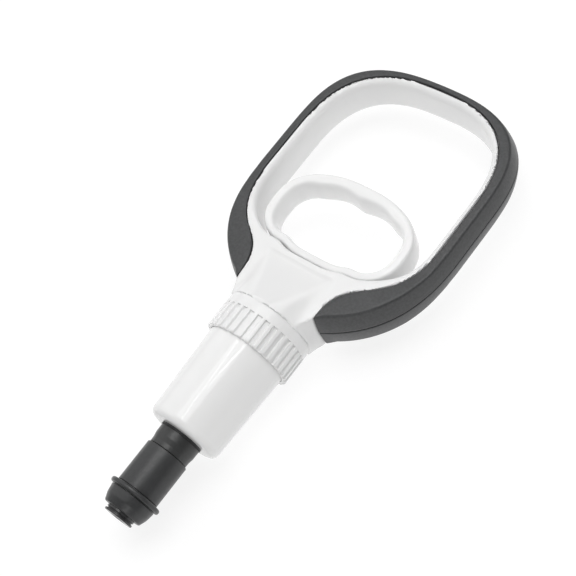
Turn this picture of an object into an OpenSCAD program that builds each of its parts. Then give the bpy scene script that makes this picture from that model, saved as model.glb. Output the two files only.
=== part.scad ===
// Hand-operated vacuum pump with a palm loop and a finger ring.
// The pump lies flat: +Y runs from the nozzle tip to the top of the loop, +X is the
// width and +Z is up, out of the front face. Below, every length along the pump is
// counted from the nozzle tip, and place() moves the finished shape to its origin.

/* [Loop handle] */
// Width of the window inside the loop
window_w = 84.6; // [82:0.2:90]
// Height of the window's lower curve, above the saddle
window_low_h = 32.4; // [30:0.2:34]
// Height of the straight sides of the window
window_mid_h = 20; // [14:1:30]
// Height of the window's upper curve
window_top_h = 40; // [36:0.5:44]
// Thickness of the white band at the sides of the window
band_t = 3; // [2.4:0.1:3.6]
// Thickness of the white band at the top of the window
band_top_t = 3.2; // [2.4:0.1:3.6]
// Thickness of the dark grip at the sides
grip_t = 6; // [5.4:0.2:8]
// Thickness of the dark grip at the top
grip_top_t = 3.8; // [3.4:0.2:6]
// Depth of the loop from front to back
loop_depth = 17; // [15:0.2:18]
// Extra height of the front and back faces at the neck
neck_rise = 2.2; // [0:0.1:3]
// Wall of the two grip shells
shell_wall = 1.8; // [1.4:0.1:2.2]

/* [Neck and collar] */
// Height of the neck, from the collar to the saddle of the window
neck_l = 27.6; // [26:0.2:30]
// Diameter of the neck where it meets the collar
neck_d = 38.6; // [38:0.2:38.8]
// Length of the collar nut
collar_l = 16.5; // [16:0.1:18]
// Diameter over the collar's ribs
collar_d = 39; // [38.8:0.1:41]
// Number of ribs on the collar
rib_count = 32; // [20:1:40]
// Length of the smooth ring above the ribs
collar_ring_l = 4; // [3:0.5:5]

/* [Barrel] */
// Length of the barrel that shows below the collar
barrel_l = 41.5; // [40:0.5:46]
// Diameter at the barrel's lower end
barrel_low_d = 32; // [31.4:0.2:33]
// Diameter at the collar
barrel_top_d = 35; // [34:0.2:35.2]
// Diameter of the cylinder bore
bore_d = 27.6; // [27:0.2:27.8]
// Rounding of the lower edge
barrel_edge_r = 4.4; // [2.8:0.2:5]

/* [Nozzle] */
// Length from the tip to the barrel
nozzle_l = 40; // [39:0.5:48]
// Diameter of the hard tube where it leaves the sleeve
tube_d = 17.3; // [16.6:0.1:17.6]
// Diameter of the tube's upper end
tube_top_d = 18.3; // [17.6:0.1:18.4]
// Diameter of the rubber sleeve
sleeve_d = 18.6; // [18:0.1:19]
// Top of the rubber sleeve
sleeve_top = 30.8; // [29:0.2:32]
// Diameter of the sleeve's flange
flange_d = 22.8; // [22:0.2:24]
// Height of the flange's lower face
flange_y = 9.9; // [9:0.1:12]
// Length of the hard tip below the sleeve
tip_l = 2.6; // [2:0.1:3.4]
// Diameter of the hard tip
tip_d = 12.8; // [12.4:0.1:13]
// Diameter of the tip's hole
port_d = 4.4; // [3.6:0.1:5]

/* [Pull ring and plunger] */
// Width of the pull ring
ring_w = 69.2; // [64:0.2:72]
// Height of the pull ring
ring_h = 41.6; // [38:0.2:44]
// Depth of the pull ring from front to back
ring_depth = 13; // [11:0.2:14]
// Width of one finger hollow
finger_pitch = 19; // [17:0.5:20]
// Height of the cusps between the fingers
finger_wave = 1.6; // [0.5:0.1:2.4]
// Travel of the pull ring
stroke = 42; // [30:1:42]
// Diameter of the piston rod
rod_d = 8; // [7:0.2:8.4]

/* [Hidden] */
$fn = 96;

gap = 0.1;          // fitting gap between fixed pieces
run = 0.05;         // radial clearance of a running fit
slip = 0.3;         // gap between faces that meet at the end of a travel

// Stations along the pump
barrel_y = nozzle_l;
collar_y = barrel_y + barrel_l;
neck_y = collar_y + collar_l;
saddle_y = neck_y + neck_l;
side_y = saddle_y + window_low_h;
crown_y = side_y + window_mid_h;
length = crown_y + window_top_h + band_top_t + grip_top_t;

// Half sizes of the loop
window_x = window_w / 2;
band_x = window_x + band_t;
grip_x = band_x + grip_t;

// Height of the front face above the seam, which grows towards the neck
rise_start = saddle_y + 16.4;
rise_l = 30;
function face(y) = loop_depth / 2 + neck_rise * max(0, min(1, (rise_start - y) / rise_l));

// Joints of the band's outer edge, from the neck up to the side
neck_join = [20.2, neck_y + 10];
lobe_join = [30.2, saddle_y + 0.2];
grip_end = [20.6, neck_y + 6.3];

// Exponents of the rounded outlines
window_n = 2.8;
band_n = 2.65;
grip_n = 3;
saddle_n = 2.8;
ring_n = 2.3;

arc_steps = 22;
side_steps = 8;

WHITE = [0.93, 0.93, 0.92];
GREY = [0.29, 0.29, 0.3];
RUBBER = [0.2, 0.2, 0.21];
STEEL = [0.7, 0.7, 0.72];

// ---- Frame of the part and drawing helpers ----

module place() {
    translate([0, -length / 2, collar_d / 2]) children();
}

// Turns a profile of [radius, height] points about the pump's axis
module turned(profile) {
    rotate([-90, 0, 0]) rotate_extrude() polygon(profile);
}

// A straight round bar between two heights
module bar(low, high, r) {
    rotate([-90, 0, 0]) translate([0, 0, low]) cylinder(h = high - low, r = r);
}

// A ring between two heights
module band(low, high, r_out, r_in) {
    turned([[r_in, low], [r_out, low], [r_out, high], [r_in, high]]);
}

function sign_pow(v, e) = sign(v) * pow(abs(v), e);

// One point of a rounded outline: half width, height and exponent
function rounded(angle, half_w, height, n) =
    [half_w * sign_pow(cos(angle), 2 / n), height * sign_pow(sin(angle), 2 / n)];

function bezier(a, b, c, d, t) =
    a * pow(1 - t, 3) + b * 3 * t * pow(1 - t, 2) + c * 3 * t * t * (1 - t) + d * pow(t, 3);

function mirrored(points) = [for (i = [len(points) - 1:-1:0]) [-points[i].x, points[i].y]];

function at_y(points, y) = [for (p = points) [p.x, p.y + y]];

// ---- Outlines of the loop, each from the neck up the right side to the crown ----

function crown(half_w, height, n) = at_y(
    [for (i = [0:arc_steps]) rounded(90 * i / arc_steps, half_w, height, n)], crown_y);

function band_edge() = concat(
    [for (i = [0:side_steps - 1])
        bezier(neck_join, [20.2, neck_y + 19.4], [24.4, saddle_y - 4.2], lobe_join,
            i / side_steps)],
    [for (i = [0:side_steps])
        bezier(lobe_join, [41.8, saddle_y + 7.9], [band_x, side_y - 15], [band_x, side_y],
            i / side_steps)],
    crown(band_x, window_top_h + band_top_t, band_n));

function grip_edge() = concat(
    [for (i = [0:2 * side_steps])
        bezier(grip_end, [47.1, saddle_y - 8.6], [grip_x, side_y - 18.2], [grip_x, side_y],
            i / (2 * side_steps))],
    crown(grip_x, window_top_h + band_top_t + grip_top_t, grip_n));

// The outline continues down the left side, without the shared middle point
function whole(points) = concat(
    points, [for (i = [len(points) - 2:-1:0]) [-points[i].x, points[i].y]]);

BAND = whole(band_edge());
GRIP = whole(grip_edge());

function window_edge() = concat(
    at_y([for (i = [0:arc_steps]) rounded(-90 + 90 * i / arc_steps, window_x, window_low_h,
        saddle_n)], side_y),
    crown(window_x, window_top_h, window_n));

module window_shape() {
    half = window_edge();
    polygon(concat(half, mirrored(half)));
}

// ---- Swept skins ----

// Joins rings of points into a closed skin; open sweeps get end caps
module skin(rings, closed) {
    n = len(rings);
    m = len(rings[0]);
    last = closed ? n - 1 : n - 2;
    walls = [for (i = [0:last], j = [0:m - 1])
        let (a = i * m, b = ((i + 1) % n) * m, k = (j + 1) % m) [a + j, a + k, b + k, b + j]];
    caps = closed ? [] : [[for (j = [m - 1:-1:0]) j], [for (j = [0:m - 1]) (n - 1) * m + j]];
    polyhedron([for (r = rings) each r], concat(walls, caps));
}

// Section of a grip shell: [distance in from the grip's edge, height above the seam].
// The side leans in towards the front and ends in a rounded edge.
edge_r = 1.6;
side_lean = 1.7;
function shell_section(width, top) =
    let (s = min(1, width / 6), wall = shell_wall * s, r = edge_r * s, lean = side_lean * s)
    concat(
        [[wall, gap]],
        [for (t = [0, 0.4, 0.7]) [lean * pow(t, 1.6), gap + (top - r - gap) * t]],
        [for (i = [0:4]) [lean + r - r * cos(22.5 * i), top - r + r * sin(22.5 * i)]],
        [[width - gap, top], [width - gap, top - shell_wall], [lean + wall, top - shell_wall]]);

function toward(p, q, d) = p + (q - p) * d / norm(q - p);

module grip_skin() {
    skin([for (i = [0:len(GRIP) - 1])
        let (width = norm(BAND[i] - GRIP[i]), top = face(BAND[i].y))
        [for (s = shell_section(width, top))
            let (p = toward(GRIP[i], BAND[i], s[0])) [p.x, p.y, s[1]]]], false);
}

// Pegs that join the two shells through the frame's web
peg_r = 0.9;
peg_place = 0.4;
peg_stations = [12, 22, 32, len(BAND) - 13, len(BAND) - 23, len(BAND) - 33];
function peg_at(i) = BAND[i] + (GRIP[i] - BAND[i]) * peg_place;

module pegs(low, drop, r) {
    for (i = peg_stations) translate([peg_at(i).x, peg_at(i).y, low])
        cylinder(h = face(peg_at(i).y) - drop - low, r = r, $fn = 24);
}

// ---- Fixed pieces ----

neck_bore_r = 6;
web_t = 2;
web_reach = 0.62;
stub_r = collar_d / 2 - 1.6;
stub_bore_r = bore_d / 2 + 1.95;
stub_low = collar_y + 5.3;
barrel_end_y = neck_y - 2;

module neck_cone() {
    r = neck_d / 2;
    steps = 14;
    turned(concat([[0, neck_y]],
        [for (i = [0:steps]) bezier([r, neck_y], [r - 0.7, neck_y + 8], [10, neck_y + 14],
            [6.8, neck_y + 25], i / steps)],
        [[0, neck_y + 25]]));
}

// Prism across the width that holds everything between the front and back faces
module between_faces() {
    half = [for (y = [neck_y - 1, rise_start - rise_l, rise_start, length]) [y, face(y)]];
    rotate([90, 0, 90]) linear_extrude(2 * grip_x, center = true)
        polygon(concat(half, [for (i = [len(half) - 1:-1:0]) [half[i].x, -half[i].y]]));
}

module handle_frame() {
    foot = [[neck_d / 2 - 3, neck_y + 0.01], [neck_d / 2 + 0.4, neck_y + 5.6]];
    half = concat(foot, band_edge());
    web = [for (i = [0:len(BAND) - 1]) BAND[i] + (GRIP[i] - BAND[i]) * web_reach];
    stock = loop_depth + 2 * neck_rise;
    color(WHITE) place() difference() {
        union() {
            difference() {
                union() {
                    intersection() {
                        translate([0, 0, -stock / 2]) linear_extrude(stock)
                            polygon(concat(half, mirrored(half)));
                        between_faces();
                    }
                    translate([0, 0, -web_t / 2]) linear_extrude(web_t) polygon(web);
                }
                translate([0, 0, -stock / 2 - 1]) linear_extrude(stock + 2) window_shape();
            }
            neck_cone();
            band(stub_low, neck_y + 1, stub_r, stub_bore_r);
        }
        bar(neck_y - 1, saddle_y + 2, neck_bore_r);
        for (i = peg_stations) translate([peg_at(i).x, peg_at(i).y, -web_t])
            cylinder(h = 2 * web_t, r = peg_r + gap, $fn = 24);
    }
}

module front_grip_shell() {
    color(GREY) place() {
        grip_skin();
        pegs(-4, shell_wall / 2, peg_r);
    }
}

module rear_grip_shell() {
    color(GREY) place() mirror([0, 0, 1]) {
        grip_skin();
        difference() {
            pegs(web_t / 2 + gap, shell_wall / 2, peg_r + 0.7);
            pegs(-1, 3.6, peg_r + gap / 2);
        }
    }
}

bush_flange_l = 1.5;
bush_l = 14;
rod_r = rod_d / 2;

module rod_bush() {
    color(WHITE) place() turned([
        [rod_r + run, neck_y - bush_flange_l], [9, neck_y - bush_flange_l], [9, neck_y],
        [neck_bore_r, neck_y], [neck_bore_r, neck_y + bush_l], [rod_r + run, neck_y + bush_l]]);
}

module wiper_ring() {
    color(RUBBER) place() band(neck_y + bush_l, neck_y + bush_l + 2, neck_bore_r, rod_r + run);
}

rib_depth = 0.8;
lip_l = 2.1;
module collar_nut() {
    r = collar_d / 2;
    groove_top = neck_y - collar_ring_l;
    pitch = 360 / rib_count;
    groove_w = PI * collar_d / rib_count / 2;
    color(WHITE) place() difference() {
        turned([
            [barrel_top_d / 2 + 0.15, collar_y], [r - 0.6, collar_y], [r, collar_y + 0.6],
            [r, neck_y - 0.5], [r - 0.4, neck_y - gap], [stub_r + gap, neck_y - gap],
            [stub_r + gap, collar_y + lip_l], [barrel_top_d / 2 + 0.15, collar_y + lip_l]]);
        for (i = [0:rib_count - 1]) rotate([0, (i + 0.5) * pitch, 0])
            translate([-groove_w / 2, collar_y - 1, r - rib_depth])
                cube([groove_w, groove_top - collar_y + 1, rib_depth + 1]);
    }
}

flange_top = stub_low - 0.7;
module barrel_gasket() {
    color(RUBBER) place() band(flange_top, stub_low, stub_r - 0.2, stub_bore_r - 0.1);
}

end_wall = 3;
stem_r = 6;
module barrel() {
    low_r = barrel_low_d / 2;
    top_r = barrel_top_d / 2;
    e = barrel_edge_r;
    bore_r = bore_d / 2;
    sleeve_r = stub_bore_r - 0.15;
    color(WHITE) place() turned(concat(
        [[stem_r, barrel_y]],
        [for (i = [0:8]) [low_r - e + e * sin(11.25 * i), barrel_y + e - e * cos(11.25 * i)]],
        [[top_r, collar_y], [top_r, collar_y + lip_l + gap],
         [stub_r - 0.1, collar_y + lip_l + gap], [stub_r - 0.1, flange_top],
         [sleeve_r, flange_top], [sleeve_r, barrel_end_y], [bore_r, barrel_end_y],
         [bore_r, barrel_y + end_wall], [stem_r, barrel_y + end_wall]]));
}

// ---- Nozzle ----

gasket_t = 0.8;
tip_r = tip_d / 2;
core_r = tip_r - 0.2;
chamber_r = 4.6;
chamber_y = sleeve_top;
channel_r = 2.6;
socket_l = 8;
module nozzle_gasket() {
    color(RUBBER) place() band(barrel_y - gasket_t, barrel_y, tube_top_d / 2 + 0.25, stem_r);
}

module nozzle_tube() {
    tube_r = tube_d / 2;
    under = barrel_y - gasket_t;
    color(GREY) place() turned([
        [4, tip_l], [core_r, tip_l], [core_r, sleeve_top], [tube_r, sleeve_top],
        [tube_r, sleeve_top + 2], [tube_top_d / 2, under], [stem_r, under],
        [stem_r, barrel_y + end_wall], [chamber_r, barrel_y + end_wall],
        [chamber_r, chamber_y], [channel_r, chamber_y], [channel_r, socket_l], [4, socket_l]]);
}

seat_l = 2;
disc_t = 1.2;
disc_lift = 1;
disc_y = chamber_y + seat_l;
cage_y = disc_y + disc_t + disc_lift;
cage_l = 3;
module valve_seat() {
    color(WHITE) place() turned([
        [2, chamber_y], [chamber_r, chamber_y], [chamber_r, disc_y - 0.4], [2.8, disc_y - 0.4],
        [2.6, disc_y], [2, disc_y]]);
}

module valve_disc() {
    color(RUBBER) place() bar(disc_y, disc_y + disc_t, 3.8);
}

module valve_cage() {
    color(WHITE) place() difference() {
        bar(cage_y, cage_y + cage_l, chamber_r);
        bar(cage_y - 1, cage_y + cage_l + 1, 0.8);
        for (a = [0:60:300]) rotate([0, a, 0]) translate([2.6, 0, 0])
            bar(cage_y - 1, cage_y + cage_l + 1, 0.9);
    }
}

module nozzle_sleeve() {
    sleeve_r = sleeve_d / 2;
    rim = flange_d / 2;
    cone_r = sleeve_r + 0.8;
    flange_top_y = flange_y + 2;
    color(RUBBER) place() turned([
        [core_r, tip_l], [7.9, tip_l], [8.5, tip_l + 0.6], [9.5, tip_l + 3.4],
        [cone_r, flange_y], [rim - 0.8, flange_y], [rim, flange_y + 0.7],
        [rim, flange_y + 1.3], [rim - 0.8, flange_top_y], [sleeve_r, flange_top_y],
        [sleeve_r, sleeve_top - 0.4], [sleeve_r - 0.4, sleeve_top], [core_r, sleeve_top]]);
}

module tip_ring() {
    color(GREY) place() turned([
        [port_d / 2, 0], [tip_r - 0.8, 0], [tip_r, 0.8], [tip_r, tip_l], [4, tip_l],
        [4, socket_l], [port_d / 2, socket_l]]);
}

// ---- Plunger ----

ring_x = ring_w / 2;
ring_gap = 1;
ring_low_h = ring_h * 0.48;
ring_up_h = ring_h - ring_low_h;
ring_y = saddle_y + ring_gap + ring_low_h;
ring_side_t = 5.3;
ring_low_t = 4.7;
ring_up_t = 6;
ring_steps = 88;
section_steps = 16;

function ring_outer(a) =
    let (p = rounded(a, ring_x, sin(a) < 0 ? ring_low_h : ring_up_h, ring_n)) [p.x, p.y + ring_y];

// The inner edge has a hollow for each finger along the upper bar
function ring_inner(a) =
    let (up = sin(a) > 0,
        p = rounded(a, ring_x - ring_side_t, up ? ring_up_h - ring_up_t : ring_low_h - ring_low_t,
            ring_n),
        cusp = up ? finger_wave * (1 - abs(sin(180 * p.x / finger_pitch))) * sin(a) : 0)
    [p.x, p.y + ring_y - cusp];

boss_r = neck_bore_r - slip;
boss_y = neck_y + 21;
thread_r = 3;
thread_top = saddle_y + 3.2;

module ring_skin() {
    skin([for (i = [0:ring_steps - 1])
        let (a = 360 * i / ring_steps, o = ring_outer(a), n = ring_inner(a))
        [for (j = [0:section_steps - 1])
            let (s = rounded(360 * j / section_steps, 0.5, ring_depth / 2, 3.2),
                p = o + (n - o) * (0.5 - s.x))
            [p.x, p.y, s.y]]], true);
}

module pull_ring() {
    color(WHITE) place() difference() {
        union() {
            ring_skin();
            bar(boss_y, saddle_y + 2, boss_r);
        }
        bar(boss_y - 1, thread_top, thread_r);
    }
}

// Stations of the piston stack, from its lower face up
piston_y = barrel_y + end_wall + slip;
groove_y = piston_y + 2.2;
washer_y = groove_y + 3.2;
stack_top = neck_y - bush_flange_l - slip - stroke;
rod_foot = washer_y + 1.8;
piston_r = bore_d / 2 - 0.4;
screw_r = 1.5;

module piston_rod() {
    color(STEEL) place() difference() {
        turned([
            [0, rod_foot], [rod_r - 0.4, rod_foot], [rod_r, rod_foot + 0.4], [rod_r, boss_y],
            [thread_r, boss_y], [thread_r, thread_top - 0.4], [thread_r - 0.4, thread_top],
            [0, thread_top]]);
        bar(rod_foot - 1, rod_foot + 10, screw_r);
    }
}

hub_r = bore_d / 2 - 2.4;
module piston_head() {
    color(WHITE) place() difference() {
        turned([
            [screw_r, piston_y], [piston_r - 0.5, piston_y], [piston_r, piston_y + 0.5],
            [piston_r, groove_y], [hub_r, groove_y], [hub_r, washer_y], [screw_r, washer_y]]);
        bar(piston_y - 1, piston_y + 2.2, 3.2);
    }
}

// The washer's notches let air past the seal on the return stroke
module piston_washer() {
    color(WHITE) place() difference() {
        band(washer_y, rod_foot, piston_r, screw_r);
        for (a = [0:60:300]) rotate([0, a, 0]) translate([-1.5, washer_y - 1, hub_r + 0.2])
            cube([3, 4, 4]);
    }
}

module piston_screw() {
    color(STEEL) place() difference() {
        union() {
            bar(piston_y + 0.3, piston_y + 2.2, 2.9);
            bar(piston_y + 2.2, rod_foot + 9, screw_r);
        }
        for (a = [0, 90]) rotate([0, a, 0]) translate([-1.6, piston_y, -0.35])
            cube([3.2, 1.2, 0.7]);
    }
}

module end_bumper() {
    color(RUBBER) place() band(rod_foot, stack_top, 8, rod_r);
}

seal_wire_r = 1;
module seal_ring() {
    color(RUBBER) place() rotate([-90, 0, 0]) translate([0, 0, groove_y + seal_wire_r + gap])
        rotate_extrude() translate([bore_d / 2 - run - seal_wire_r, 0])
            circle(r = seal_wire_r, $fn = 32);
}

handle_frame();
front_grip_shell();
rear_grip_shell();
rod_bush();
wiper_ring();
collar_nut();
barrel_gasket();
barrel();
nozzle_gasket();
nozzle_tube();
valve_seat();
valve_cage();
nozzle_sleeve();
tip_ring();
valve_disc();
pull_ring();
piston_rod();
piston_head();
piston_washer();
piston_screw();
end_bumper();
seal_ring();
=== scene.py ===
"""Looks of a hand vacuum pump: palm loop with dark grip shells, finger ring, collar, barrel, nozzle.

Lengths below are in millimetres in the pump's own frame: y runs along the axis from the nozzle
tip, x is the width and z comes out of the front face. to_row() carries them to the row frame.
"""

import math

import bpy
import numpy as np
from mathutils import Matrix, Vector


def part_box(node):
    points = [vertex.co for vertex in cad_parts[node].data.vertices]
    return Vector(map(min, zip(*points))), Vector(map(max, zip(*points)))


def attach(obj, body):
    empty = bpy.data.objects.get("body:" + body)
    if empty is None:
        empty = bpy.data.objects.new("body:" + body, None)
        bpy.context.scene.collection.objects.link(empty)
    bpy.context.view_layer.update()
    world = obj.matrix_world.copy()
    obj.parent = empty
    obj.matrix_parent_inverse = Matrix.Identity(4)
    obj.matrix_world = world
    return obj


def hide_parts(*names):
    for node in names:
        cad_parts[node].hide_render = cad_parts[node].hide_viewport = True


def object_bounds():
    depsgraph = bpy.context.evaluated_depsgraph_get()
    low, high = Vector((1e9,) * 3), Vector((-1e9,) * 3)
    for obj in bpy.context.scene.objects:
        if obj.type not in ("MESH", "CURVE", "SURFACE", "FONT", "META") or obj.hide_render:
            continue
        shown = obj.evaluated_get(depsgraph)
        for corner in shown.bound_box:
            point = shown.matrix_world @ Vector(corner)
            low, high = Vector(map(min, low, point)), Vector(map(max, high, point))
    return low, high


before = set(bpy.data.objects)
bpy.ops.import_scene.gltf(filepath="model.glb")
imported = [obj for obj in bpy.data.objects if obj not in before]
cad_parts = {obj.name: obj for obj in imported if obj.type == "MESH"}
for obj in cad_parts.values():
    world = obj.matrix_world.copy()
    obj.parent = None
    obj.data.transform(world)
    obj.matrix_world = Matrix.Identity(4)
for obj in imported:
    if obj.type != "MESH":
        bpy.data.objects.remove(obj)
cad_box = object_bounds()

MM = 0.001
TIP_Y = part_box("tip_ring")[0].y
AXIS_Z = (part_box("barrel")[0].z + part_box("barrel")[1].z) / 2


def low(node, axis=1):
    """Lowest value of a CAD node along an axis, in millimetres of the pump's own frame."""
    return (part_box(node)[0][axis] - (TIP_Y if axis == 1 else 0)) / MM


def high(node, axis=1):
    """Highest value of a CAD node along an axis, in millimetres of the pump's own frame."""
    return (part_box(node)[1][axis] - (TIP_Y if axis == 1 else 0)) / MM


def to_row(points):
    """Carries an array of points from the pump's frame in millimetres to the row frame in metres."""
    return np.asarray(points, float) * MM + np.array([0.0, TIP_Y, AXIS_Z])


# ---- Stations and sizes, read from the frame where it has them ----

BARREL_Y = low("barrel")
COLLAR_Y = low("collar_nut")
NECK_Y = high("collar_nut") + 0.1
SLEEVE_TOP = high("nozzle_sleeve")
SLEEVE_LOW = low("nozzle_sleeve")
TOP_Y = high("front_grip_shell")
GRIP_X = high("front_grip_shell", 0)
COLLAR_R = high("collar_nut", 0)
NECK_R = COLLAR_R - 0.2
RING_X = high("pull_ring", 0)
RING_TOP = high("pull_ring")

GRIP_T = 6.0
GRIP_TOP_T = 3.8
BAND_T = 3.0
BAND_TOP_T = 3.2
BAND_X = GRIP_X - GRIP_T
WINDOW_X = BAND_X - BAND_T
WINDOW_TOP_H = 40.0
SIDE_L = 20.0
CROWN_Y = TOP_Y - GRIP_TOP_T - BAND_TOP_T - WINDOW_TOP_H
SIDE_Y = CROWN_Y - SIDE_L
SADDLE_Y = NECK_Y + 27.6
BORE_R = 6.0

# Exponents of the rounded outlines: 2 is an ellipse, and a larger one is squarer
GRIP_N = 3.0
BAND_N = 2.65
WINDOW_N = 2.8
SADDLE_N = 2.7

FACE_Z = 8.5
NECK_RISE = 2.2
RISE_START = SADDLE_Y + 16.4
RISE_L = 30.0


# ---- Curves ----


def face(y):
    """Height of the front face above the seam, which grows towards the neck."""
    return FACE_Z + NECK_RISE * np.clip((RISE_START - y) / RISE_L, 0, 1)


def bezier(a, b, c, d, count):
    """Points of a cubic curve, without the last one."""
    t = np.arange(count)[:, None] / count
    a, b, c, d = (np.array(p, float) for p in (a, b, c, d))
    return a * (1 - t) ** 3 + b * 3 * t * (1 - t) ** 2 + c * 3 * t**2 * (1 - t) + d * t**3


def signed_power(v, e):
    """Power of the size of v, with v's sign."""
    return np.sign(v) * np.abs(v) ** e


def rounded(angles, half_w, height, n):
    """Points of a superellipse at these angles in radians."""
    x = half_w * signed_power(np.cos(angles), 2 / n)
    y = height * signed_power(np.sin(angles), 2 / n)
    return np.stack([x, y], 1)


def crown(half_w, height, n):
    """Right half of the loop's top, from the side to the middle."""
    angles = np.linspace(0, math.pi / 2, CROWN_STEPS + 1)
    return rounded(angles, half_w, height, n) + [0, CROWN_Y]


def mirrored(points):
    """The same points on the left side, from the last to the first."""
    return points[::-1] * [-1, 1]


def whole(half):
    """A right half that ends in the middle, joined to its left half."""
    return np.concatenate([half[:-1], mirrored(half)])


LOBE_STEPS = 24
SIDE_STEPS = 6
CROWN_STEPS = 48
SADDLE_STEPS = 90
NECK_JOIN = (20.2, NECK_Y + 10)
LOBE_JOIN = (30.2, SADDLE_Y + 0.2)
GRIP_END = (20.6, NECK_Y + 6.3)


def straight_side(x):
    """Points up the straight side of the loop, without the last one."""
    heights = np.linspace(SIDE_Y, CROWN_Y, SIDE_STEPS + 1)[:-1]
    return np.stack([np.full(SIDE_STEPS, x), heights], 1)


def band_edge():
    """Outer edge of the white band, from the neck up the right side to the crown."""
    return np.concatenate([
        bezier(NECK_JOIN, (20.2, NECK_Y + 19.4), (24.4, SADDLE_Y - 4.2), LOBE_JOIN, LOBE_STEPS),
        bezier(LOBE_JOIN, (41.8, SADDLE_Y + 7.9), (BAND_X, SIDE_Y - 15), (BAND_X, SIDE_Y), LOBE_STEPS),
        straight_side(BAND_X), crown(BAND_X, WINDOW_TOP_H + BAND_TOP_T, BAND_N)])


def grip_edge():
    """Outer edge of the dark grip, with as many points as the band's edge."""
    return np.concatenate([
        bezier(GRIP_END, (47.1, SADDLE_Y - 8.6), (GRIP_X, SIDE_Y - 18.2), (GRIP_X, SIDE_Y),
               2 * LOBE_STEPS),
        straight_side(GRIP_X), crown(GRIP_X, WINDOW_TOP_H + BAND_TOP_T + GRIP_TOP_T, GRIP_N)])


HUMP_X = 16.6
HUMP_W = 4.4
SADDLE_HUMP = 1.2


def saddle_wave(x):
    """Two low humps, between the fingers, that the ring's lower bar and the saddle under it share."""
    return np.exp(-((np.abs(x) - HUMP_X) / HUMP_W) ** 2)


def window_edge():
    """Right half of the window's outline, from the saddle to the crown."""
    angles = np.linspace(-math.pi / 2, 0, SADDLE_STEPS)[:-1]
    bottom = rounded(angles, WINDOW_X, SIDE_Y - SADDLE_Y, SADDLE_N)
    bottom[:, 1] += SIDE_Y + SADDLE_HUMP * saddle_wave(bottom[:, 0])
    return np.concatenate([bottom, crown(WINDOW_X, WINDOW_TOP_H, WINDOW_N)])


# ---- Meshes ----


def add_mesh(name, points, faces, material, sharp_deg=38):
    """Makes a smooth-shaded object whose edges over sharp_deg stay sharp."""
    mesh = bpy.data.meshes.new(name)
    mesh.from_pydata(to_row(points).tolist(), [], faces)
    mesh.validate()
    obj = bpy.data.objects.new(name, mesh)
    bpy.context.scene.collection.objects.link(obj)
    mesh.polygons.foreach_set("use_smooth", [True] * len(mesh.polygons))
    mark_sharp(mesh, math.radians(sharp_deg))
    mesh.materials.append(material)
    return obj


def mark_sharp(mesh, angle):
    """Marks the edges whose faces meet at more than the angle."""
    normals = np.array([p.normal[:] for p in mesh.polygons])
    sides = {}
    for poly in mesh.polygons:
        for key in poly.edge_keys:
            sides.setdefault(key, []).append(poly.index)
    limit = math.cos(angle)
    for edge in mesh.edges:
        pair = sides.get(edge.key, ())
        if len(pair) == 2 and normals[pair[0]] @ normals[pair[1]] < limit:
            edge.use_edge_sharp = True


def grid_faces(rows, cols, wrap=True):
    """Quads over rows of points. Each row closes on itself, and wrap joins the last to the first."""
    faces = []
    for i in range(rows if wrap else rows - 1):
        for j in range(cols):
            a, b = i * cols, (i + 1) % rows * cols
            k = (j + 1) % cols
            faces.append((a + j, a + k, b + k, b + j))
    return faces


def filleted(corners, steps=6):
    """Rounds a closed profile of (radius, height, fillet) corners into points."""
    out = []
    n = len(corners)
    for i, (r, y, f) in enumerate(corners):
        p = np.array([r, y], float)
        if f <= 0:
            out.append(p)
            continue
        a = np.array(corners[i - 1][:2], float) - p
        b = np.array(corners[(i + 1) % n][:2], float) - p
        la, lb = np.linalg.norm(a), np.linalg.norm(b)
        a, b = a / la, b / lb
        half = math.acos(max(-1, min(1, float(a @ b)))) / 2
        reach = min(f / math.tan(half), 0.49 * la, 0.49 * lb)
        start, end = p + a * reach, p + b * reach
        for k in range(steps + 1):
            t = k / steps
            out.append(start * (1 - t) ** 2 + p * 2 * t * (1 - t) + end * t**2)
    return np.array(out)


def lathe(name, corners, material, around=160, steps=6):
    """Turns a closed profile about the pump's axis."""
    profile = filleted(corners, steps)
    angles = np.arange(around) * 2 * math.pi / around
    points = [[r * math.cos(a), y, r * math.sin(a)] for a in angles for r, y in profile]
    return add_mesh(name, points, grid_faces(around, len(profile)), material)


def stand_for(piece, node, body="pump_body"):
    """Puts a piece on its body in place of a CAD node, whose mesh it hides."""
    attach(piece, body)
    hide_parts(node)


# ---- Solids from a distance field ----


def outline_distance(x, y, outline):
    """Signed distance in the plane from points to a closed outline, negative inside."""
    best = np.full(x.shape, 1e9)
    inside = np.zeros(x.shape, bool)
    for (ax, ay), (bx, by) in zip(outline, np.roll(outline, -1, 0)):
        dx, dy = bx - ax, by - ay
        t = np.clip(((x - ax) * dx + (y - ay) * dy) / max(dx * dx + dy * dy, 1e-12), 0, 1)
        best = np.minimum(best, (x - ax - t * dx) ** 2 + (y - ay - t * dy) ** 2)
        if ay != by:
            crosses = (ay > y) != (by > y)
            inside ^= crosses & (x < (bx - ax) * (y - ay) / (by - ay) + ax)
    return np.where(inside, -1, 1) * np.sqrt(best)


def corner_distance(a, b):
    """Distance to the corner where two half spaces meet, from the distances to each."""
    return np.hypot(np.maximum(a, 0), np.maximum(b, 0)) + np.minimum(np.maximum(a, b), 0)


def rounded_slab(plane, z, half_depth, radius):
    """Distance to an outline given a depth, with rounded front and back edges."""
    return corner_distance(plane + radius, np.abs(z) - half_depth + radius) - radius


def smooth_union(a, b, k):
    """Both solids, with a fillet of about k where they meet."""
    h = np.maximum(k - np.abs(a - b), 0) / k
    return np.minimum(a, b) - h * h * k / 4


def smooth_cut(a, b, k):
    """The solid a without b, with the cut's edge rounded by about k."""
    return -smooth_union(-a, b, k)


LEVEL_STEPS = 4


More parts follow.
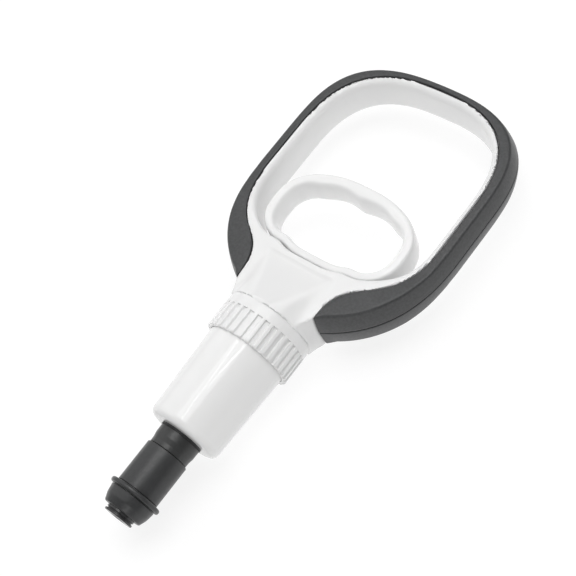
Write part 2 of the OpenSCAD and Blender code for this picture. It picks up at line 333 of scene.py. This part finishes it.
def net(field, lowest, highest, step):
    """Surface of a field's zero level: a net of quads, moved onto the level by its gradient."""
    axes = [np.arange(lo, hi + step, step) for lo, hi in zip(lowest, highest)]
    grid = np.stack(np.meshgrid(*axes, indexing="ij"), -1)
    shape = grid.shape[:3]
    values = field(grid.reshape(-1, 3)).reshape(shape)
    inside = values < 0
    corners = [(i, j, k) for i in (0, 1) for j in (0, 1) for k in (0, 1)]
    cells = tuple(s - 1 for s in shape)

    def part(a, c):
        return a[tuple(slice(c[d], c[d] + cells[d]) for d in range(3))]

    count = sum(part(inside, c).astype(int) for c in corners)
    active = (count > 0) & (count < 8)
    total = np.zeros(cells + (3,))
    hits = np.zeros(cells)
    for c in corners:
        for d in range(3):
            if c[d]:
                continue
            e = tuple(c[m] + (m == d) for m in range(3))
            va, vb = part(values, c), part(values, e)
            cross = (va < 0) != (vb < 0)
            t = np.where(cross, va / np.where(va == vb, 1, va - vb), 0)
            pa, pb = part(grid, c), part(grid, e)
            total += np.where(cross[..., None], pa + (pb - pa) * t[..., None], 0)
            hits += cross
    index = np.full(cells, -1)
    index[active] = np.arange(active.sum())
    points = total[active] / hits[active][:, None]
    faces = []
    for d in range(3):
        u, v = (d + 1) % 3, (d + 2) % 3
        head = tuple(slice(0, shape[m] - 1) if m == d else slice(1, shape[m] - 1) for m in range(3))
        tail = tuple(slice(1, shape[m]) if m == d else slice(1, shape[m] - 1) for m in range(3))
        cross = inside[head] != inside[tail]
        where = np.argwhere(cross)
        for m in range(3):
            if m != d:
                where[:, m] += 1
        out = inside[head][cross]

        def cell(du, dv):
            at = where.copy()
            at[:, u] += du
            at[:, v] += dv
            return index[at[:, 0], at[:, 1], at[:, 2]]

        quad = np.stack([cell(-1, -1), cell(0, -1), cell(0, 0), cell(-1, 0)], 1)
        quad[~out] = quad[~out][:, ::-1]
        faces.append(quad)
    faces = np.concatenate(faces)
    for _ in range(LEVEL_STEPS):
        points = onto_level(field, points, step)
    return points, faces.tolist()


def onto_level(field, points, step):
    """One Newton step towards the field's zero level."""
    here = field(points)
    reach = 0.02
    slope = np.stack([
        (field(points + np.eye(3)[d] * reach) - field(points - np.eye(3)[d] * reach)) / (2 * reach)
        for d in range(3)], 1)
    size = np.maximum((slope**2).sum(1), 0.05)
    move = -(here / size)[:, None] * slope
    length = np.linalg.norm(move, axis=1, keepdims=True)
    return points + move * np.minimum(1, 0.5 * step / np.maximum(length, 1e-9))


# ---- Materials ----


def shader(name, color, roughness, **sockets):
    """A material whose uniform values sit on the shader's own sockets."""
    material = bpy.data.materials.new(name)
    material.use_nodes = True
    nodes = material.node_tree.nodes
    principled = nodes["Principled BSDF"]
    principled.inputs["Base Color"].default_value = (*color, 1)
    principled.inputs["Roughness"].default_value = roughness
    for socket, value in sockets.items():
        principled.inputs[socket.replace("_", " ")].default_value = value
    return material, principled


def noise(material, scale, detail=2.0, stretch=(1, 1, 1)):
    """Noise in the object's own metres; scale is in cycles per metre."""
    nodes, links = material.node_tree.nodes, material.node_tree.links
    place = nodes.new("ShaderNodeTexCoord")
    mapping = nodes.new("ShaderNodeMapping")
    mapping.inputs["Scale"].default_value = stretch
    texture = nodes.new("ShaderNodeTexNoise")
    texture.inputs["Scale"].default_value = scale
    texture.inputs["Detail"].default_value = detail
    links.new(place.outputs["Object"], mapping.inputs["Vector"])
    links.new(mapping.outputs["Vector"], texture.inputs["Vector"])
    return texture.outputs["Fac"]


def ranged(material, value, lowest, highest, start=0.3, end=0.7):
    """Maps a noise value between two limits."""
    node = material.node_tree.nodes.new("ShaderNodeMapRange")
    node.inputs["From Min"].default_value = start
    node.inputs["From Max"].default_value = end
    node.inputs["To Min"].default_value = lowest
    node.inputs["To Max"].default_value = highest
    material.node_tree.links.new(value, node.inputs["Value"])
    return node.outputs["Result"]


def tinted(material, principled, value, dark, light):
    """Base colour between two tones, driven by a value."""
    ramp = material.node_tree.nodes.new("ShaderNodeValToRGB")
    ramp.color_ramp.elements[0].position = 0.35
    ramp.color_ramp.elements[1].position = 0.65
    ramp.color_ramp.elements[0].color = (*dark, 1)
    ramp.color_ramp.elements[1].color = (*light, 1)
    material.node_tree.links.new(value, ramp.inputs["Fac"])
    material.node_tree.links.new(ramp.outputs["Color"], principled.inputs["Base Color"])


def bumped(material, principled, layers, distance):
    """Adds bumps; layers are (height value, strength)."""
    nodes, links = material.node_tree.nodes, material.node_tree.links
    last = None
    for height, strength in layers:
        bump = nodes.new("ShaderNodeBump")
        bump.inputs["Strength"].default_value = strength
        bump.inputs["Distance"].default_value = distance
        links.new(height, bump.inputs["Height"])
        if last is not None:
            links.new(last, bump.inputs["Normal"])
        last = bump.outputs["Normal"]
    links.new(last, principled.inputs["Normal"])


def glossy_white(name, tone, roughness):
    """Injection-moulded glossy plastic: faint tone drift, smooth waves of the mould and fine haze."""
    light = (tone, tone, tone * 0.995)
    dark = (tone * 0.985, tone * 0.985, tone * 0.985)
    material, principled = shader(name, light, roughness, IOR=1.5)
    tinted(material, principled, noise(material, 38, 2), dark, light)
    haze = ranged(material, noise(material, 260, 2), roughness * 0.92, roughness * 1.12)
    material.node_tree.links.new(haze, principled.inputs["Roughness"])
    bumped(material, principled, [(noise(material, 55, 1), 0.03)], 0.0006)
    return material


def grained_grip():
    """Dark soft-touch plastic with a fine spark-eroded grain."""
    material, principled = shader("grip_grain", (0.04, 0.041, 0.042), 0.45, IOR=1.5)
    tinted(material, principled, noise(material, 900, 3), (0.034, 0.035, 0.036), (0.047, 0.048, 0.05))
    rough = ranged(material, noise(material, 1900, 3), 0.34, 0.46)
    material.node_tree.links.new(rough, principled.inputs["Roughness"])
    bumped(material, principled, [(noise(material, 2600, 3), 0.35), (noise(material, 700, 2), 0.12)],
           0.00012)
    return material


def sleeve_rubber(name, tone, roughness, grain):
    """Moulded rubber: soft sheen, faint bloom and a fine matt skin."""
    dark = tuple(c * 0.85 for c in tone)
    material, principled = shader(name, tone, roughness, IOR=1.5)
    tinted(material, principled, noise(material, 120, 4), dark, tone)
    rough = ranged(material, noise(material, 700, 3), roughness * 0.85, roughness * 1.2)
    material.node_tree.links.new(rough, principled.inputs["Roughness"])
    bumped(material, principled, [(noise(material, 1800, 3), grain)], 0.0001)
    return material


def drawn_steel():
    """Drawn bar with fine lines along its length."""
    material, principled = shader("drawn_steel", (0.62, 0.62, 0.63), 0.3, Metallic=1.0)
    lines = noise(material, 2400, 2, (1, 0.02, 1))
    tinted(material, principled, lines, (0.54, 0.54, 0.55), (0.68, 0.68, 0.69))
    material.node_tree.links.new(ranged(material, lines, 0.22, 0.4), principled.inputs["Roughness"])
    bumped(material, principled, [(lines, 0.2)], 0.00005)
    return material


WHITE = glossy_white("white_gloss", 0.83, 0.24)
BARREL_WHITE = glossy_white("barrel_gloss", 0.84, 0.07)
RING_WHITE = glossy_white("ring_gloss", 0.85, 0.24)
INNER = glossy_white("inner_plastic", 0.72, 0.45)
GRIP = grained_grip()
TUBE = sleeve_rubber("nozzle_plastic", (0.026, 0.027, 0.027), 0.34, 0.15)
TIP = sleeve_rubber("tip_plastic", (0.03, 0.03, 0.031), 0.16, 0.05)
SLEEVE = sleeve_rubber("sleeve_rubber", (0.03, 0.031, 0.032), 0.36, 0.25)
SEAL = sleeve_rubber("seal_rubber", (0.025, 0.025, 0.026), 0.5, 0.3)
STEEL = drawn_steel()


# ---- Handle frame ----

NECK_L = 23.0
NECK_FACE_X = 14.5
NECK_FACE_DROP = 0.3
NECK_EASE = 0.9          # below 1, the circle turns into the rectangle sooner
NECK_SLOPE = 0.9         # keeps the field's slope near 1 while the section changes
NECK_BLEND = 3.2
STUB_LOW = low("barrel_gasket") + 0.7
STUB_R = high("barrel_gasket", 0) + 0.2
STUB_WALL = 2.1
PLATE_EDGE_R = 0.35
WEB_HALF = 1.0
WEB_REACH = 0.6          # share of the way from the band's edge to the grip's
ROLL_R = 0.7             # window's edge at the saddle
ROLL_FRONT = 2.9         # and what it gains up the sides, at the front and at the back
ROLL_BACK = 1.3
ROLL_START = 5
ROLL_L = 16
NET_STEP = 0.9


def frame_outline():
    """Outline of the flat plate: the foot on the neck, then the band's outer edge."""
    foot = np.array([[NECK_R - 3, NECK_Y + 0.4], [NECK_R + 0.3, NECK_Y + 5.6],
                     [NECK_JOIN[0] - 0.2, NECK_Y + 7]])
    half = np.concatenate([foot, band_edge()[:-1]])
    return np.concatenate([half, mirrored(half)])


def neck_distance(x, y, z):
    """From a circle at the collar to a flat rectangle at the saddle."""
    t = np.clip((y - NECK_Y) / NECK_L, 0, 1) ** NECK_EASE
    corner = (1 - t) * NECK_R
    a = np.abs(x) - t * NECK_FACE_X
    b = np.abs(z) - t * (face(y) - NECK_FACE_DROP)
    section = (corner_distance(a, b) - corner) * NECK_SLOPE
    return np.maximum(np.maximum(section, NECK_Y - y), y - NECK_Y - NECK_L)


def frame_field():
    """Distance field of the white handle frame."""
    plate = frame_outline()
    window = whole(window_edge())
    web = whole(band_edge())
    web += (whole(grip_edge()) - web) * WEB_REACH

    def field(p):
        x, y, z = p[:, 0], p[:, 1], p[:, 2]
        hole = outline_distance(x, y, window)
        up_side = np.clip((y - SADDLE_Y - ROLL_START) / ROLL_L, 0, 1)
        roll = ROLL_R + np.where(z > 0, ROLL_FRONT, ROLL_BACK) * up_side
        solid = np.maximum(rounded_slab(outline_distance(x, y, plate), z, face(y), PLATE_EDGE_R),
                           rounded_slab(-hole, z, face(y), roll))
        solid = smooth_union(solid, np.maximum(neck_distance(x, y, z), -hole), NECK_BLEND)
        thin = rounded_slab(np.maximum(outline_distance(x, y, web), -hole), z, WEB_HALF, 0.3)
        solid = np.minimum(solid, thin)
        r = np.hypot(x, z)
        stub = np.maximum(np.maximum(r - STUB_R, STUB_R - STUB_WALL - r),
                          np.maximum(STUB_LOW - y, y - NECK_Y - 1))
        solid = np.minimum(solid, stub)
        return smooth_cut(solid, np.maximum(r - BORE_R, y - SADDLE_Y - 4), 0.5)

    return field


def handle_frame():
    """White band, neck and stub in one moulding."""
    points, faces = net(frame_field(), (-GRIP_X - 1, STUB_LOW - 1.5, -NECK_R - 1.3),
                        (GRIP_X + 1, TOP_Y + 1, NECK_R + 1.3), NET_STEP)
    piece = add_mesh("handle_frame_moulding", points, faces, WHITE, 50)
    stand_for(piece, "handle_frame")


# ---- Grip shells ----

SHELL_WALL = 1.8
EDGE_R = 1.6
LIP_R = 0.4
SHADOW_GAP = 0.6
EDGE_START = 0.4
SIDE_LEAN = 1.7
SEAM_GAP = 0.16
SEAM_EDGE = 0.14
FULL_WIDTH = 6           # a narrower shell has its wall, lean and rounding scaled down


def shell_section(width, top):
    """Points of (distance in from the grip's edge, height above the seam) round a shell's wall.

    The side leans in towards the front and ends in a rounded edge.
    """
    s = min(1.0, width / FULL_WIDTH)
    r, wall, lean = EDGE_R * s, SHELL_WALL * s, SIDE_LEAN * s
    arc = np.linspace(EDGE_START, math.pi / 2, 9)
    rise = np.linspace(0.12, 0.94, 8)
    side_top = top - r * (1 - math.sin(EDGE_START))
    return np.concatenate([
        [[wall, SEAM_GAP], [0.5 * s, SEAM_GAP], [SEAM_EDGE * s, SEAM_GAP + SEAM_EDGE],
         [0, SEAM_GAP + 0.5]],
        np.stack([lean * rise**1.6, rise * side_top], 1),
        np.stack([lean + r * (math.cos(EDGE_START) - np.cos(arc)), top - r + r * np.sin(arc)], 1),
        [[lean + r + (width - lean - r) * t, top] for t in (0.25, 0.5, 0.75)],
        np.stack([width - LIP_R + LIP_R * np.sin(arc[::3]), top - LIP_R + LIP_R * np.cos(arc[::3])], 1),
        [[width, top - SHELL_WALL], [lean + wall, top - SHELL_WALL]]])


def grip_shell(name, node, side):
    """One of the two dark half shells; side is 1 at the front and -1 at the back."""
    rings = []
    for p, q in zip(whole(grip_edge()), whole(band_edge())):
        width = np.linalg.norm(q - p) - SHADOW_GAP
        step = (q - p) / np.linalg.norm(q - p)
        rings.append([[*(p + step * d), side * h] for d, h in shell_section(width, face(q[1]))])
    rows, cols = len(rings), len(rings[0])
    faces = grid_faces(rows, cols, wrap=False)
    faces.append(tuple(range(cols))[::-1])
    faces.append(tuple((rows - 1) * cols + j for j in range(cols)))
    if side > 0:
        faces = [f[::-1] for f in faces]
    piece = add_mesh(name, np.concatenate(rings), faces, GRIP, 40)
    stand_for(piece, node)


# ---- Collar, barrel and nozzle ----

RIBS = 32
RIB_STEPS = 20
RIB_DEPTH = 1.0
GROOVE_HALF = 0.235      # share of a rib's pitch
RIB_FLANK = 0.06
RIB_SWELL = 0.12
TOP_RING_L = 4.8


def collar():
    """Ribbed nut: rounded ribs up to a smooth ring."""
    top_ring = NECK_Y - TOP_RING_L
    inner = STUB_R + 0.1
    low_in = high("barrel", 0) - 0.1
    heights = np.concatenate([
        [COLLAR_Y, COLLAR_Y + 0.15, COLLAR_Y + 0.5], np.linspace(COLLAR_Y + 1, top_ring - 0.5, 12),
        [top_ring - 0.12, top_ring + 0.06, top_ring + 0.3, NECK_Y - 1.2, NECK_Y - 0.5, NECK_Y - 0.25,
         NECK_Y - 0.12]])
    around = RIBS * RIB_STEPS
    phase = np.arange(around) * RIBS / around % 1
    rib = np.clip((np.abs(phase - 0.5) - GROOVE_HALF) / RIB_FLANK, 0, 1)
    rib = rib * rib * (3 - 2 * rib)
    swell = RIB_SWELL * np.cos(2 * math.pi * phase)
    angles = np.arange(around) * 2 * math.pi / around
    rings = []
    for i in range(around):
        ring = []
        for y in heights:
            r = COLLAR_R - 0.05
            if y < top_ring:
                r -= RIB_DEPTH * (1 - rib[i]) - swell[i] * rib[i]
            r -= 0.45 * max(0, 1 - (y - COLLAR_Y) / 0.5) ** 2
            r -= 0.2 * max(0, 1 - (NECK_Y - 0.12 - y) / 0.5) ** 2
            ring.append([r * math.sin(angles[i]), y, r * math.cos(angles[i])])
        for r, y in ((inner, NECK_Y - 0.12), (inner, COLLAR_Y + 2.1), (low_in, COLLAR_Y + 2.1),
                     (low_in, COLLAR_Y)):
            ring.append([r * math.sin(angles[i]), y, r * math.cos(angles[i])])
        rings.append(ring)
    faces = [f[::-1] for f in grid_faces(around, len(rings[0]))]
    piece = add_mesh("collar_nut_ribbed", np.concatenate(rings), faces, WHITE, 40)
    stand_for(piece, "collar_nut")


def turned_piece(name, node, corners, material, slot, **options):
    """A turned piece of the pump body that stands for a CAD node."""
    stand_for(lathe(name, corners, material, **options), node)


BARREL_LOW_R = 16.0
BARREL_TOP_R = 17.5
BARREL_BORE_R = 13.8
BARREL_FLOOR = BARREL_Y + 3
CHAMBER_R = 4.6          # valve chamber in the tube's stem
STEM_R = 6.0             # stem of the tube in the barrel's floor


def barrel():
    """Tapered glossy cup with a flange and a spigot inside the collar."""
    end = high("barrel")
    lip = COLLAR_Y + 2.2
    lip_top = lip + 2.4
    flange_r = 17.8
    spigot_r = 15.6
    turned_piece("barrel_glossy", "barrel", [
        (STEM_R, BARREL_Y, 0), (9.0, BARREL_Y, 0), (BARREL_LOW_R, BARREL_Y, 4.8),
        (BARREL_TOP_R, COLLAR_Y, 0), (BARREL_TOP_R, lip, 0), (flange_r, lip, 0.2),
        (flange_r, lip_top, 0.2), (spigot_r, lip_top, 0), (spigot_r, end, 0.4),
        (BARREL_BORE_R, end, 0.4), (BARREL_BORE_R, BARREL_FLOOR, 0.5), (STEM_R, BARREL_FLOOR, 0.2)],
        BARREL_WHITE, "barrel_plastic", around=256, steps=12)


def nozzle():
    """Hard tube, rubber sleeve with a rim, and the hard ring at the tip."""
    top_r = high("nozzle_tube", 0)
    tube_r = top_r - 0.5
    sleeve_r = top_r + 0.15
    tip_r = high("tip_ring", 0)
    core = tip_r - 0.2
    rim = high("nozzle_sleeve", 0)
    under = low("nozzle_gasket")
    rim_y = SLEEVE_LOW + 7.3
    channel_r = 2.6
    hole_r = 2.2
    socket_r = 4
    socket_y = 8
    turned_piece("nozzle_tube_moulded", "nozzle_tube", [
        (socket_r, SLEEVE_LOW, 0), (core, SLEEVE_LOW, 0), (core, SLEEVE_TOP - 0.5, 0),
        (tube_r - 0.5, SLEEVE_TOP - 0.5, 0), (tube_r - 0.5, SLEEVE_TOP + 0.25, 0.1),
        (tube_r, SLEEVE_TOP + 0.3, 0.15), (tube_r + 0.05, SLEEVE_TOP + 2.4, 2),
        (top_r - 0.05, SLEEVE_TOP + 4.6, 2), (top_r, under, 0.3), (STEM_R, under, 0),
        (STEM_R, BARREL_FLOOR, 0.2), (CHAMBER_R, BARREL_FLOOR, 0.2), (CHAMBER_R, SLEEVE_TOP, 0),
        (channel_r, SLEEVE_TOP, 0), (channel_r, socket_y, 0), (socket_r, socket_y, 0)],
        TUBE, "nozzle_plastic")
    turned_piece("nozzle_sleeve_moulded", "nozzle_sleeve", [
        (core, SLEEVE_LOW, 0), (8.3, SLEEVE_LOW, 0.8), (9.5, SLEEVE_LOW + 3.2, 3),
        (10.05, rim_y - 0.45, 0.2), (9.5, rim_y - 0.35, 0.1), (9.5, rim_y, 0.1),
        (rim, rim_y, 0.95), (rim, rim_y + 2, 0.95), (sleeve_r - 0.35, rim_y + 2, 0.1),
        (sleeve_r - 0.35, rim_y + 2.35, 0.1), (sleeve_r, rim_y + 2.5, 0.2),
        (sleeve_r, SLEEVE_TOP, 0.32), (core, SLEEVE_TOP, 0)], SLEEVE, "sleeve_rubber", steps=8)
    turned_piece("tip_ring_moulded", "tip_ring", [
        (hole_r, 0.5, 0.3), (3.4, 0.0, 0.3), (tip_r, 0, 0.45), (tip_r, 0.95, 0.25),
        (core - 0.5, 1.05, 0.2), (core - 0.5, 1.45, 0.2), (core, 1.6, 0.2), (core, SLEEVE_LOW, 0),
        (socket_r, SLEEVE_LOW, 0), (socket_r, socket_y, 0), (hole_r, socket_y, 0)],
        TIP, "nozzle_plastic")


# ---- Pull ring ----

RING_LOW = SADDLE_Y + 1.0
RING_H = RING_TOP - RING_LOW
RING_LOW_H = RING_H * 0.48
RING_UP_H = RING_H - RING_LOW_H
RING_Y = RING_LOW + RING_LOW_H
RING_HALF_DEPTH = 6.5
RING_SIDE_T = 5.3
RING_UP_T = 6.0
RING_LOW_T = 4.1
FINGER_PITCH = 19.5
FINGER_WAVE = 1.8
RING_HUMP = 1.5
CUSP_SOFTNESS = 0.05


def soft_cusp(v):
    """1 at the zeros of v and 0 at its peaks, with a softened tip."""
    return 1 - np.sqrt(v * v + CUSP_SOFTNESS) / math.sqrt(1 + CUSP_SOFTNESS)


def halves(angles, half_w, upper, lower):
    """A rounded outline whose upper and lower halves have their own height and exponent."""
    up = (np.sin(angles) > 0)[:, None]
    return np.where(up, rounded(angles, half_w, *upper), rounded(angles, half_w, *lower))


def pull_ring():
    """Oval ring with hollows for the fingers in both bars."""
    steps, around = 240, 32
    a = np.arange(steps) * 2 * math.pi / steps
    up = np.sin(a) > 0
    outer = halves(a, RING_X, (RING_UP_H, 2.3), (RING_LOW_H, 2.8))
    inner = halves(a, RING_X - RING_SIDE_T, (RING_UP_H - RING_UP_T, 2.5),
                   (RING_LOW_H - RING_LOW_T, 3.0))
    rise = np.abs(np.sin(a)) ** 1.5
    finger = soft_cusp(np.sin(math.pi * inner[:, 0] / FINGER_PITCH))
    inner[:, 1] -= np.where(up, FINGER_WAVE * finger * rise, 0)
    inner[:, 1] += np.where(up, 0, RING_HUMP * saddle_wave(inner[:, 0]) * rise)
    outer[:, 1] += np.where(up, 0, 0.9 * SADDLE_HUMP * saddle_wave(outer[:, 0]) * rise)
    outer[:, 1] += RING_Y
    inner[:, 1] += RING_Y
    turn = np.arange(around) * 2 * math.pi / around
    sharper = (np.cos(turn) > 0)[:, None]
    section = np.where(sharper, rounded(turn, 0.5, RING_HALF_DEPTH, 5),
                       rounded(turn, 0.5, RING_HALF_DEPTH, 3.4))
    rings = []
    for o, n in zip(outer, inner):
        rings.append([[*(o + (n - o) * (0.5 - s)), h] for s, h in section])
    faces = [f[::-1] for f in grid_faces(steps, around)]
    piece = add_mesh("pull_ring_moulding", np.concatenate(rings), faces, RING_WHITE, 60)
    stand_for(piece, "pull_ring", "plunger")
    foot, boss_top = low("pull_ring"), RING_LOW + 2.5
    thread_r, boss_r = 3.0, 5.6
    boss = lathe("pull_ring_boss", [(thread_r, foot, 0.2), (boss_r, foot, 0.5),
                                    (boss_r, boss_top, 0.1), (thread_r, boss_top, 0)],
                 RING_WHITE, around=96)
    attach(boss, "plunger")


# ---- CAD nodes that stay as they are ----


def finish_nodes():
    """Gives the carried-over CAD nodes their materials."""
    finishes = {
        "rod_bush": INNER, "wiper_ring": SEAL, "barrel_gasket": SEAL, "nozzle_gasket": SEAL,
        "valve_seat": INNER, "valve_cage": INNER, "valve_disc": SEAL, "piston_rod": STEEL,
        "piston_head": INNER, "piston_washer": INNER, "piston_screw": STEEL, "end_bumper": SEAL,
        "seal_ring": SEAL}
    for name, material in finishes.items():
        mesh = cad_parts[name].data
        mesh.materials.clear()
        mesh.materials.append(material)


# ---- Studio ----

SURROUND = 0.32
FLOOR_GLOW = 0.78
KEY_POWER = 4.7
SIDE_POWER = 6.5
STRIP_POWER = 0.45
EDGE_POWER = 0.5
FRONT_POWER = 1.1


FLOOR_HALF = 3.0
FLOOR_GAP = 0.0005


def studio():
    """Pale glowing floor, a weak even surround and five softboxes, in metres of the row frame."""
    near, far = -FLOOR_HALF, FLOOR_HALF
    mesh = bpy.data.meshes.new("floor")
    mesh.from_pydata([(near, near, 0), (far, near, 0), (far, far, 0), (near, far, 0)], [],
                     [(0, 1, 2, 3)])
    floor = bpy.data.objects.new("floor", mesh)
    floor.location.z = cad_box[0].z - FLOOR_GAP
    bpy.context.scene.collection.objects.link(floor)
    material, principled = shader("floor_paint", (0.25, 0.25, 0.25), 0.9)
    principled.inputs["Emission Color"].default_value = (1, 1, 1, 1)
    principled.inputs["Emission Strength"].default_value = FLOOR_GLOW
    mesh.materials.append(material)
    world = bpy.data.worlds.new("surround")
    world.use_nodes = True
    world.node_tree.nodes["Background"].inputs["Color"].default_value = (1, 1, 1, 1)
    world.node_tree.nodes["Background"].inputs["Strength"].default_value = SURROUND
    bpy.context.scene.world = world
    centre = (cad_box[0] + cad_box[1]) / 2
    softbox("key", centre + Vector((0.07, 0.26, 0.96)), centre, 0.6, 1.0, KEY_POWER)
    softbox("side", centre + Vector((-0.84, 0.12, 0.84)), centre, 1.6, 1.6, SIDE_POWER)
    softbox("strip_left", centre + Vector((-0.22, 0.25, 0.93)), centre, 0.02, 1.0, STRIP_POWER)
    softbox("edge", centre + Vector((0.45, 0.25, 0.83)), centre, 0.02, 1.0, EDGE_POWER)
    softbox("front", centre + Vector((0.42, -0.75, 0.52)), centre, 0.5, 0.3, FRONT_POWER)


def softbox(name, place, aim, width, height, power):
    """A rectangular area light that faces the aim point."""
    data = bpy.data.lights.new(name, "AREA")
    data.shape = "RECTANGLE"
    data.size = width
    data.size_y = height
    data.energy = power
    light = bpy.data.objects.new(name, data)
    light.location = place
    light.rotation_mode = "QUATERNION"
    light.rotation_quaternion = (aim - place).to_track_quat("-Z", "Y")
    bpy.context.scene.collection.objects.link(light)


CAMERA_PLACE = (270.3, -25.8, 439.1)
CAMERA_AZIMUTH = 62.91
CAMERA_ELEVATION = 54.95
CAMERA_ROLL = -28.99
CAMERA_LENS = 82.1


def camera():
    """Camera at the photograph's angle; azimuth 0 looks along +Y and 90 along -X."""
    data = bpy.data.cameras.new("camera")
    data.lens = CAMERA_LENS
    data.sensor_width = 36
    data.clip_start = 0.01
    obj = bpy.data.objects.new("camera", data)
    a, e, roll = (math.radians(v) for v in (CAMERA_AZIMUTH, CAMERA_ELEVATION, CAMERA_ROLL))
    forward = Vector((-math.sin(a) * math.cos(e), math.cos(a) * math.cos(e), -math.sin(e)))
    level = Vector((math.cos(a), math.sin(a), 0))
    upright = level.cross(forward)
    right = level * math.cos(roll) + upright * math.sin(roll)
    up = right.cross(forward)
    matrix = obj.matrix_world.copy()
    matrix.col[0] = (*right, 0)
    matrix.col[1] = (*up, 0)
    matrix.col[2] = (*-forward, 0)
    matrix.col[3] = (*to_row(CAMERA_PLACE), 1)
    obj.matrix_world = matrix
    bpy.context.scene.collection.objects.link(obj)
    bpy.context.scene.camera = obj


camera()
studio()
handle_frame()
grip_shell("front_grip_shell_moulding", "front_grip_shell", 1)
grip_shell("rear_grip_shell_moulding", "rear_grip_shell", -1)
collar()
barrel()
nozzle()
pull_ring()
finish_nodes()
bpy.context.scene.view_settings.view_transform = "Standard"
